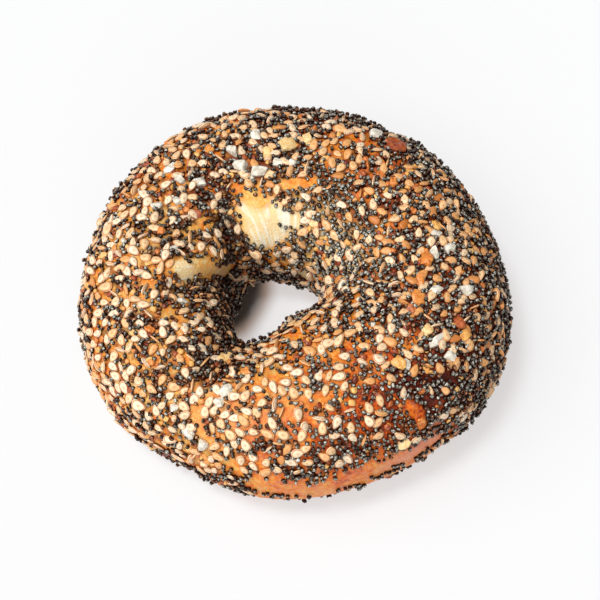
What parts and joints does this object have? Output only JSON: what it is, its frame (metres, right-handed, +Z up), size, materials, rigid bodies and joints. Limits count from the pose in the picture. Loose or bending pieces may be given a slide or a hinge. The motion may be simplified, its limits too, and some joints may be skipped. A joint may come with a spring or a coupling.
{
  "type": "everything bagel",
  "caption": "Whole baked ring-shaped bread roll with an off-centre hole, pinched folds and a crust of poppy seeds, sesame, onion flakes and coarse salt.",
  "frame": {"origin": "middle of the bounding box at the surface the bagel rests on", "axes": "+Z up out of the flat underside, +X along the longest width"},
  "size_m": [0.1101, 0.1068, 0.0393],
  "materials": {
    "crust": "boiled and baked crust, golden to orange-brown with pale stretched patches, satin",
    "poppy": "blue-grey to black seeds with a fine net of ridges, satin",
    "sesame": "hulled seeds, cream to toasted gold, satin",
    "salt": "coarse cloudy crystals",
    "flake": "dried onion and garlic, toasted tan to red-brown"
  },
  "bodies": {
    "root": {"bagel": "crust"}
  },
  "joints": []
}
